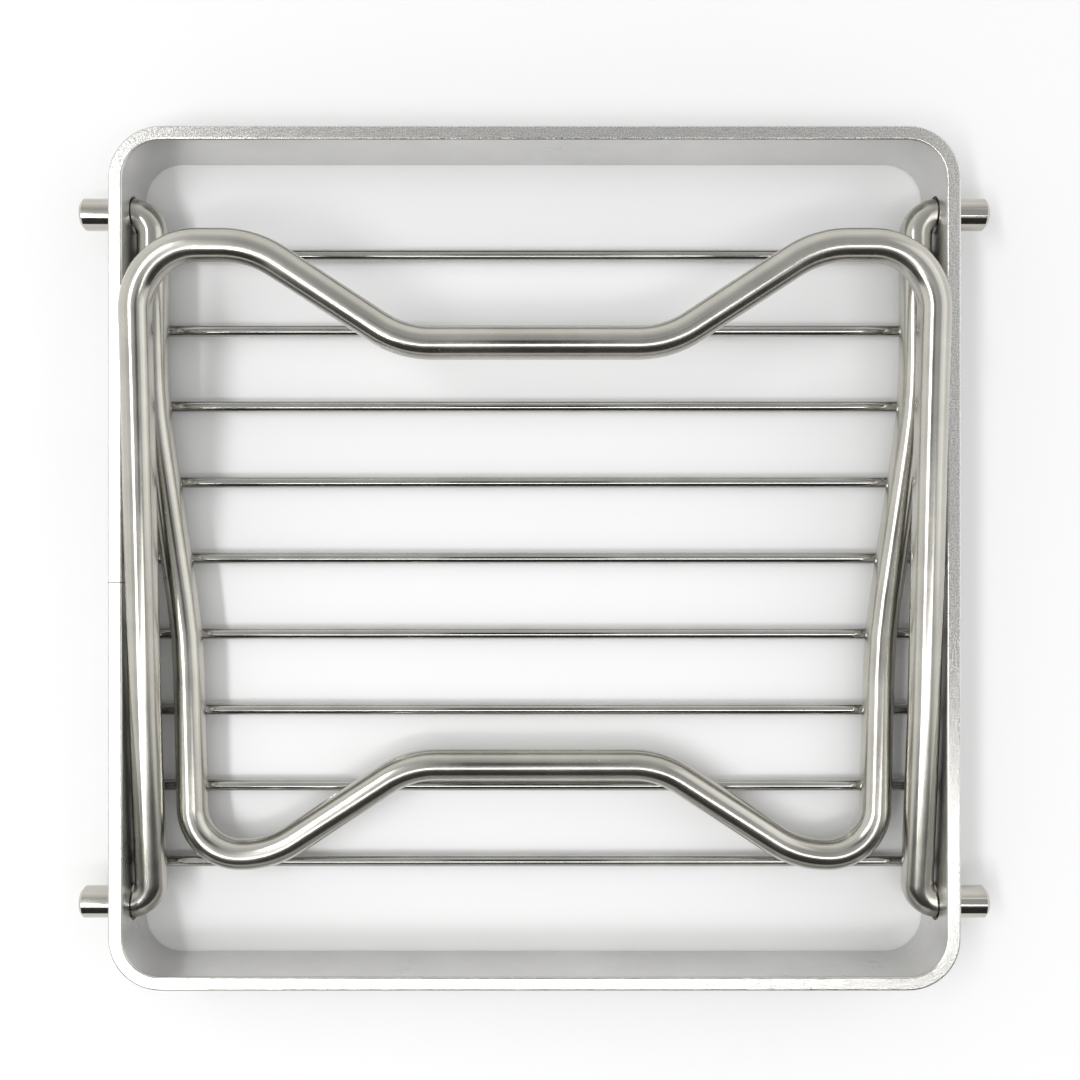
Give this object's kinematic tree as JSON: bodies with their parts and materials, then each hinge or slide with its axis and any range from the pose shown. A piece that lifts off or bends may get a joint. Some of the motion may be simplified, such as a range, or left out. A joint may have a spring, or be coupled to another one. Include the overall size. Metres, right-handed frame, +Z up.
{
  "type": "folding wire rack",
  "caption": "Flat-bar rounded-square ring with a welded wire grid and U-shaped rod legs that fold flat into it and swing out past upright to stand on their feet.",
  "frame": {"origin": "middle of the ring's underside, on the surface that the folded rack lies on", "axes": "+Z up out of the folded rack, +X along the cross wires and the hinge axes, +Y from the upper leg's hinges to the lower leg's hinges"},
  "size_m": [0.2292, 0.213, 0.0333],
  "materials": {
    "bar_steel": "satin rolled flat bar with ground edges",
    "rod_steel": "bright drawn round rod",
    "wire_steel": "bright drawn wire",
    "weld_steel": "small cleaned weld beads"
  },
  "bodies": {
    "frame": {"frame_ring": "bar_steel", "cross_wire_1": "wire_steel", "cross_wire_2": "wire_steel", "cross_wire_3": "wire_steel", "cross_wire_4": "wire_steel", "cross_wire_5": "wire_steel", "cross_wire_6": "wire_steel", "cross_wire_7": "wire_steel", "cross_wire_8": "wire_steel", "cross_wire_9": "wire_steel", "wire_welds_left": "weld_steel", "wire_welds_right": "weld_steel"},
    "upper_leg": {"upper_leg": "rod_steel"},
    "lower_leg": {"lower_leg": "rod_steel"}
  },
  "joints": [
    {"name": "upper_leg_pivot", "type": "hinge", "parent": "frame", "child": "upper_leg", "pos_m": [0, -0.0872, 0.01], "axis": [1, 0, 0], "range_deg": [0, 120]},
    {"name": "lower_leg_pivot", "type": "hinge", "parent": "frame", "child": "lower_leg", "pos_m": [0, 0.0872, 0.01], "axis": [-1, 0, 0], "range_deg": [0, 121.2]}
  ],
  "couplings": [
    {"joint": "lower_leg_pivot", "follows": "upper_leg_pivot", "ratio": 1.01}
  ]
}
